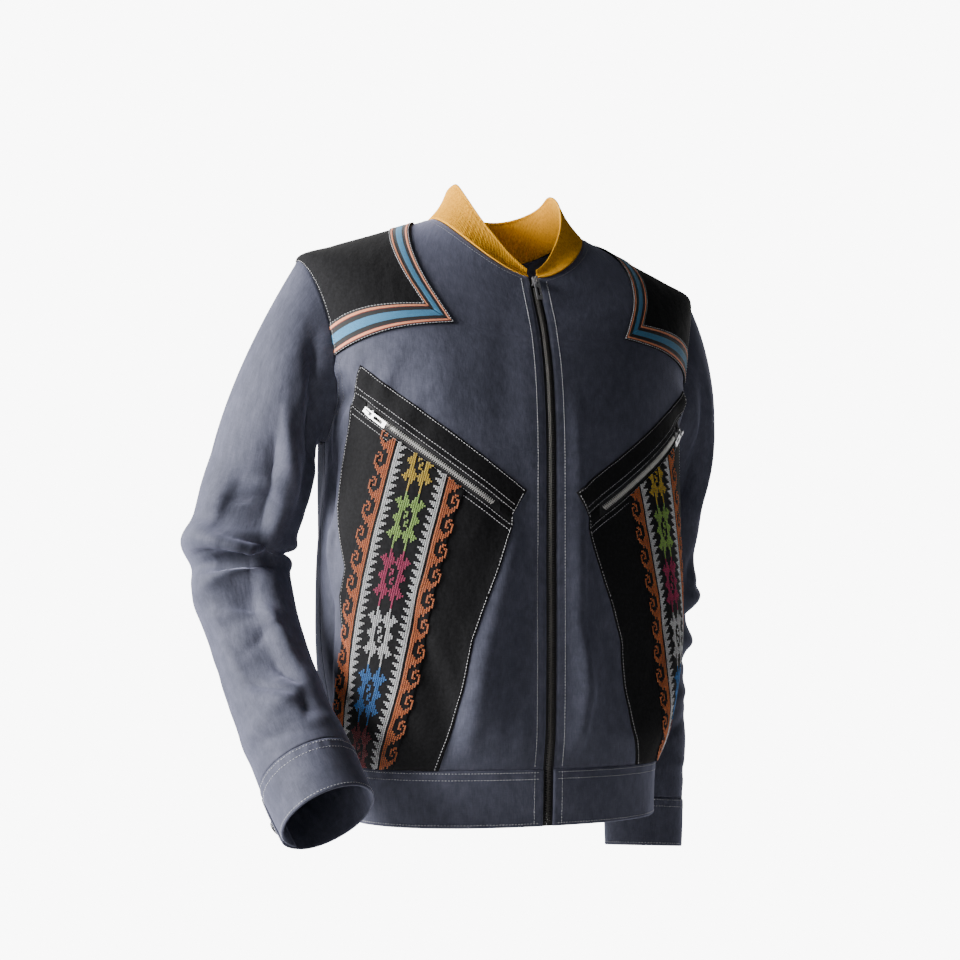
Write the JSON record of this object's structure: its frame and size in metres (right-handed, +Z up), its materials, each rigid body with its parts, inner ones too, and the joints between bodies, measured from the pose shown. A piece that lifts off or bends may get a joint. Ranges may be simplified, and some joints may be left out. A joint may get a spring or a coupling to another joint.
{
  "type": "bomber jacket",
  "caption": "Zip-front bomber jacket in its worn, hollow form, with rib-knit stand collar, buttoned cuffs, slant zip pockets and stitched bands on black side panels.",
  "frame": {"origin": "middle of the neck at the height where the shoulder seams meet the collar, where the wearer's shoulders hold the jacket", "axes": "+Z up, -Y towards the front of the jacket, +X towards the wearer's left"},
  "size_m": [0.6039, 0.291, 0.7301],
  "materials": {
    "slate_twill": "brushed cotton twill, slate blue-grey with a pale sheen",
    "black_cotton": "matte black cotton",
    "gold_rib": "fine rib knit, mustard gold",
    "ribbon": "woven ribbon in blue, black, salmon and white stripes",
    "stitching": "matte stitching thread",
    "zip_tape": "black woven tape",
    "zip_teeth": "dark gunmetal",
    "silver_metal": "polished nickel",
    "button": "dark polished button"
  },
  "bodies": {
    "jacket": {"front_right": "slate_twill", "shoulder_patch_right": "black_cotton", "shoulder_ribbon_right": "ribbon", "pocket_yoke_right": "black_cotton", "side_panel_right": "black_cotton", "stitched_band_right": "stitching", "pocket_zip_tape_right": "zip_tape", "pocket_zip_teeth_right": "zip_teeth", "pocket_zip_right_slider": "silver_metal", "front_left": "slate_twill", "shoulder_patch_left": "black_cotton", "shoulder_ribbon_left": "ribbon", "pocket_yoke_left": "black_cotton", "side_panel_left": "black_cotton", "stitched_band_left": "stitching", "pocket_zip_tape_left": "zip_tape", "pocket_zip_teeth_left": "zip_teeth", "pocket_zip_left_slider": "silver_metal", "back": "slate_twill", "sleeve_right": "slate_twill", "cuff_right": "slate_twill", "cuff_button_right": "button", "sleeve_left": "slate_twill", "cuff_left": "slate_twill", "cuff_button_left": "button", "collar": "gold_rib", "waistband_left": "slate_twill", "waistband_right": "slate_twill", "waistband_back": "slate_twill", "front_zip_tape_right": "zip_tape", "front_zip_tape_left": "zip_tape", "front_zip_teeth": "zip_teeth", "front_zip_slider": "silver_metal"},
    "pocket_zip_right_pull_body": {"pocket_zip_right_pull": "silver_metal"},
    "pocket_zip_left_pull_body": {"pocket_zip_left_pull": "silver_metal"},
    "front_zip_pull_body": {"front_zip_pull": "silver_metal"}
  },
  "joints": [
    {"name": "pocket_zip_right_pull_swing", "type": "hinge", "parent": "jacket", "child": "pocket_zip_right_pull_body", "pos_m": [-0.17573, -0.07761, -0.22588], "axis": [-0.3929, 0.4595, -0.7965], "range_deg": [0, 150]},
    {"name": "pocket_zip_left_pull_swing", "type": "hinge", "parent": "jacket", "child": "pocket_zip_left_pull_body", "pos_m": [0.17573, -0.07763, -0.2259], "axis": [-0.3922, -0.4603, 0.7964], "range_deg": [0, 150]},
    {"name": "front_zip_pull_swing", "type": "hinge", "parent": "jacket", "child": "front_zip_pull_body", "pos_m": [0, -0.09191, -0.07865], "axis": [-1, 0, 0], "range_deg": [0, 150]}
  ]
}
